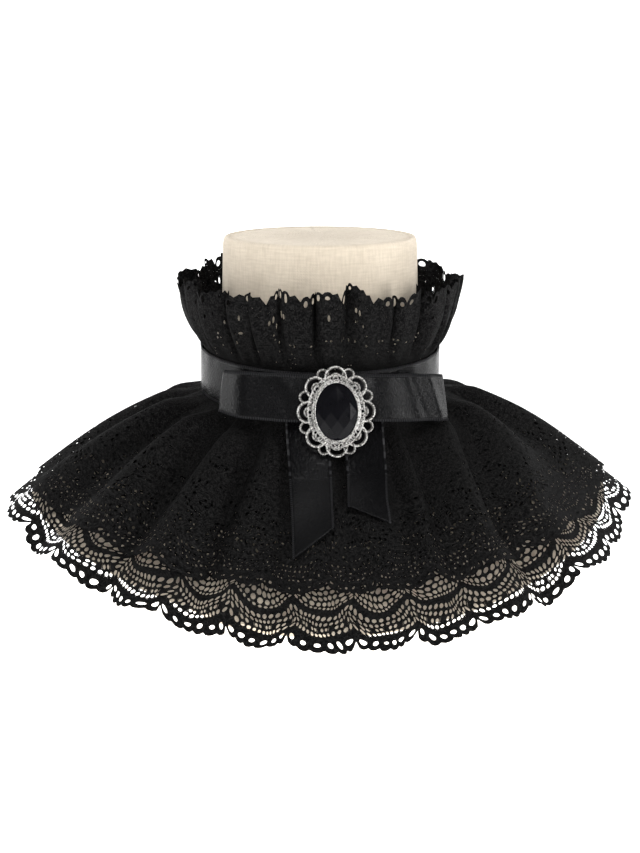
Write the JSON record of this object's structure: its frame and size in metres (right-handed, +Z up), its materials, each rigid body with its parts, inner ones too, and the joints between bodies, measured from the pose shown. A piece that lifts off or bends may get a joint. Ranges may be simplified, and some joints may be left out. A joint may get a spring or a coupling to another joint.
{
  "type": "lace collar on a dress form",
  "caption": "Black lace neck collar with a standing ruffle, layered scalloped flounces, a satin ribbon bow and an oval brooch, on a linen neck-and-shoulder display form.",
  "frame": {"origin": "middle of the display form's flat base, on the surface it stands on, straight below the middle of the neck", "axes": "+Z up, -Y towards the front with the bow and brooch, +X towards the viewer's right as seen from the front"},
  "size_m": [0.3502, 0.2754, 0.208],
  "materials": {
    "linen": "plain woven natural linen with small slubs, matte",
    "lace": "black cotton lace, matte, with raised cords and a scalloped openwork edge",
    "satin": "black satin ribbon with a soft sheen and fine picot edges",
    "silver": "cast silver-coloured filigree, slightly darkened in its hollows",
    "jet": "black faceted stone, glossy",
    "button_black": "plain black, glossy"
  },
  "bodies": {
    "root": {"display_form": "linen", "flounce_under": "lace", "flounce_over": "lace", "neck_ruffle": "lace", "neck_band": "satin", "bow_loops": "satin", "tail_left": "satin", "tail_right": "satin", "brooch_setting": "silver", "brooch_stone": "jet", "back_button": "button_black"}
  },
  "joints": []
}
